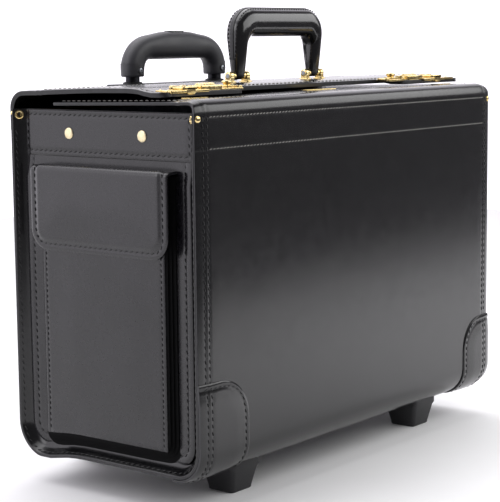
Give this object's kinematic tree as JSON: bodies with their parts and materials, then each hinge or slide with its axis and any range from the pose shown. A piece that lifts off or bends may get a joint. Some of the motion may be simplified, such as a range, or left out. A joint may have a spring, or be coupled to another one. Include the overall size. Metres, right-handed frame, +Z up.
{
  "type": "rolling pilot case",
  "caption": "Upright leather case on feet and wheels, with overlapping top flaps, locks, an end pocket, a carry handle and a telescoping trolley handle.",
  "frame": {"origin": "centre of the whole object's footprint, on the floor", "axes": "+Z up, +X along the case's length away from the end pocket, +Y towards the trolley handle and the wheels"},
  "size_m": [0.4844, 0.243, 0.4295],
  "materials": {
    "polished_leather": "gloss",
    "board": "matte",
    "lining": "matte",
    "brass": "polished",
    "steel": "satin",
    "plastic": "matte",
    "tyre": "matte",
    "aluminium": "satin",
    "dark_tube": "satin",
    "padding": "matte"
  },
  "bodies": {
    "case": {"wrapper": "polished_leather", "front_board": "board", "back_board": "board", "bottom_board": "board", "front_rail": "board", "back_rail": "board", "end_boards": "board", "lining": "lining", "divider": "padding", "mouth_rails": "steel", "rims": "polished_leather", "end_panels": "polished_leather", "end_bands": "polished_leather", "brass_rivets": "brass", "corner_patches": "polished_leather", "hinge_strip": "polished_leather", "pocket_gusset": "polished_leather", "pocket_front": "polished_leather", "pocket_fold": "polished_leather", "snap_socket": "brass", "front_feet": "plastic", "case_screws": "steel", "wheel_housings": "plastic", "axles": "steel", "trolley_cover": "plastic", "trolley_bezel": "plastic", "outer_tubes": "aluminium"},
    "trolley": {"middle_tubes": "aluminium", "tube_rings": "plastic"},
    "trolley_handle": {"inner_tubes": "dark_tube", "trolley_grip": "plastic", "grip_collars": "plastic", "grip_screws": "steel"},
    "trolley_button": {"release_button": "plastic", "release_yoke": "plastic"},
    "inner_top": {"inner_flap": "polished_leather", "name_plate": "brass", "strike_plates": "brass"},
    "outer_top": {"outer_flap": "polished_leather", "lock_plates": "brass", "handle_lugs": "brass", "flap_pins": "steel"},
    "handle": {"carry_handle": "polished_leather", "handle_feet": "brass"},
    "left_wheel": {"left_wheel_hub": "plastic", "left_tyre": "tyre"},
    "right_wheel": {"right_wheel_hub": "plastic", "right_tyre": "tyre"},
    "end_pocket_flap": {"pocket_flap": "polished_leather", "snap_stud": "brass"},
    "left_lock_hasp": {"left_hasp": "brass"},
    "right_lock_hasp": {"right_hasp": "brass"},
    "left_lock_button": {"left_latch_button": "brass"},
    "right_lock_button": {"right_latch_button": "brass"},
    "left_number_1": {"left_dial_1": "brass"},
    "left_number_2": {"left_dial_2": "brass"},
    "left_number_3": {"left_dial_3": "brass"},
    "right_number_1": {"right_dial_1": "brass"},
    "right_number_2": {"right_dial_2": "brass"},
    "right_number_3": {"right_dial_3": "brass"}
  },
  "joints": [
    {"name": "outer_flap_hinge", "type": "hinge", "parent": "case", "child": "outer_top", "pos_m": [0.00225, 0.081, 0.3575], "axis": [1, 0, 0], "range_deg": [-98, 0]},
    {"name": "inner_flap_hinge", "type": "hinge", "parent": "case", "child": "inner_top", "pos_m": [0.00225, -0.12, 0.3415], "axis": [1, 0, 0], "range_deg": [0, 32]},
    {"name": "handle_fold", "type": "hinge", "parent": "outer_top", "child": "handle", "pos_m": [0.00225, -0.02, 0.367], "axis": [-1, 0, 0], "range_deg": [-75, 75]},
    {"name": "trolley_middle_slide", "type": "slide", "parent": "case", "child": "trolley", "axis": [0, 0, 1], "range_m": [0, 0.26]},
    {"name": "trolley_handle_slide", "type": "slide", "parent": "trolley", "child": "trolley_handle", "axis": [0, 0, 1], "range_m": [0, 0.26]},
    {"name": "trolley_button_press", "type": "slide", "parent": "trolley_handle", "child": "trolley_button", "axis": [0, 0, -1], "range_m": [0, 0.003], "stiffness_N_per_m": 500, "springref_m": -0.002},
    {"name": "left_wheel_roll", "type": "hinge", "parent": "case", "child": "left_wheel", "pos_m": [-0.14775, 0.085, 0.025], "axis": [1, 0, 0], "continuous": true},
    {"name": "right_wheel_roll", "type": "hinge", "parent": "case", "child": "right_wheel", "pos_m": [0.15225, 0.085, 0.025], "axis": [1, 0, 0], "continuous": true},
    {"name": "pocket_flap_hinge", "type": "hinge", "parent": "case", "child": "end_pocket_flap", "pos_m": [-0.24075, -0.01, 0.291], "axis": [0, 1, 0], "range_deg": [0, 150]},
    {"name": "left_hasp_hinge", "type": "hinge", "parent": "outer_top", "child": "left_lock_hasp", "pos_m": [-0.20275, -0.071, 0.3619], "axis": [-1, 0, 0], "range_deg": [0, 80]},
    {"name": "right_hasp_hinge", "type": "hinge", "parent": "outer_top", "child": "right_lock_hasp", "pos_m": [0.19225, -0.071, 0.3619], "axis": [-1, 0, 0], "range_deg": [0, 80]},
    {"name": "left_latch_slide", "type": "slide", "parent": "outer_top", "child": "left_lock_button", "axis": [-1, 0, 0], "range_m": [0, 0.005], "stiffness_N_per_m": 200, "springref_m": -0.001},
    {"name": "right_latch_slide", "type": "slide", "parent": "outer_top", "child": "right_lock_button", "axis": [1, 0, 0], "range_m": [0, 0.005], "stiffness_N_per_m": 200, "springref_m": -0.001},
    {"name": "left_dial_1_turn", "type": "hinge", "parent": "outer_top", "child": "left_number_1", "pos_m": [-0.17815, -0.074, 0.36], "axis": [1, 0, 0], "continuous": true},
    {"name": "left_dial_2_turn", "type": "hinge", "parent": "outer_top", "child": "left_number_2", "pos_m": [-0.17075, -0.074, 0.36], "axis": [1, 0, 0], "continuous": true},
    {"name": "left_dial_3_turn", "type": "hinge", "parent": "outer_top", "child": "left_number_3", "pos_m": [-0.16335, -0.074, 0.36], "axis": [1, 0, 0], "continuous": true},
    {"name": "right_dial_1_turn", "type": "hinge", "parent": "outer_top", "child": "right_number_1", "pos_m": [0.14785, -0.074, 0.36], "axis": [1, 0, 0], "continuous": true},
    {"name": "right_dial_2_turn", "type": "hinge", "parent": "outer_top", "child": "right_number_2", "pos_m": [0.15525, -0.074, 0.36], "axis": [1, 0, 0], "continuous": true},
    {"name": "right_dial_3_turn", "type": "hinge", "parent": "outer_top", "child": "right_number_3", "pos_m": [0.16265, -0.074, 0.36], "axis": [1, 0, 0], "continuous": true}
  ],
  "couplings": [
    {"joint": "inner_flap_hinge", "follows": "outer_flap_hinge", "ratio": -0.32}
  ]
}
